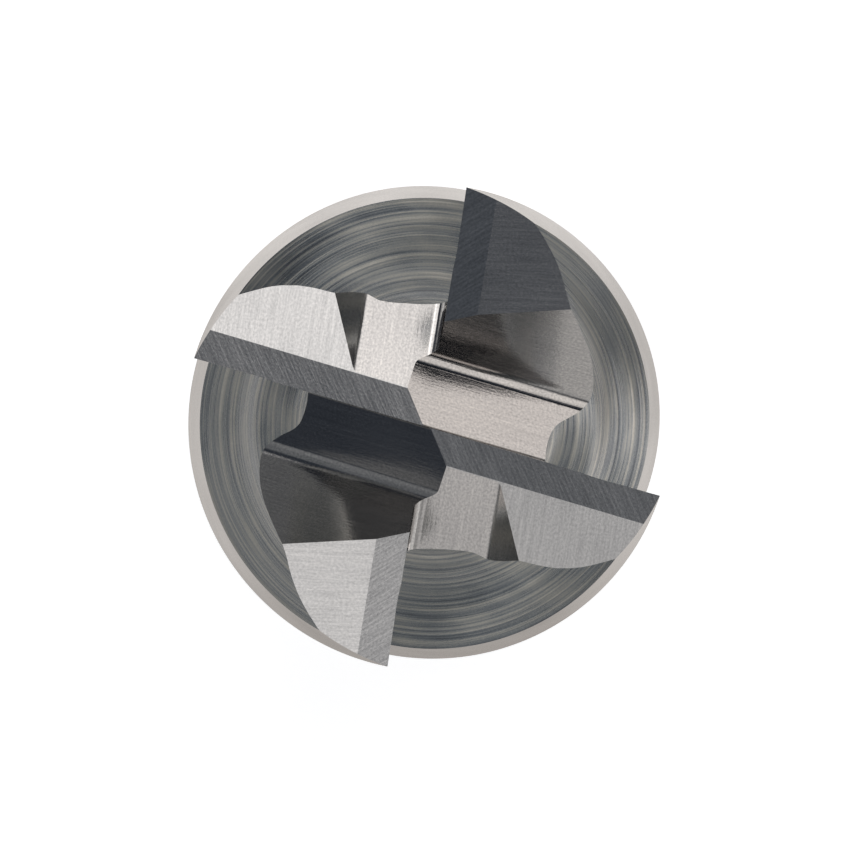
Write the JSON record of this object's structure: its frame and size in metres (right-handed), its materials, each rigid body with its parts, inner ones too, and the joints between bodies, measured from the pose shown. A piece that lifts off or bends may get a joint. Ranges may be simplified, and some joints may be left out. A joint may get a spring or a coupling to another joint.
{
  "type": "end mill",
  "caption": "Square end mill: centre-cutting helical cutting head, brazed into a straight shank with a set-screw flat.",
  "frame": {"origin": "centre of the shank's rear face", "axes": "+Z along the tool's axis from the shank's rear face to the cutting end, -Y out of the set-screw flat"},
  "size_m": [0.0126, 0.0126, 0.0762],
  "materials": {
    "ground_carbide": "finely ground tungsten carbide, bare",
    "silver_braze": "wiped silver braze",
    "ground_steel": "cylindrically ground hardened steel"
  },
  "bodies": {
    "root": {"cutting_head": "ground_carbide", "braze_film": "silver_braze", "shank": "ground_steel"}
  },
  "joints": []
}
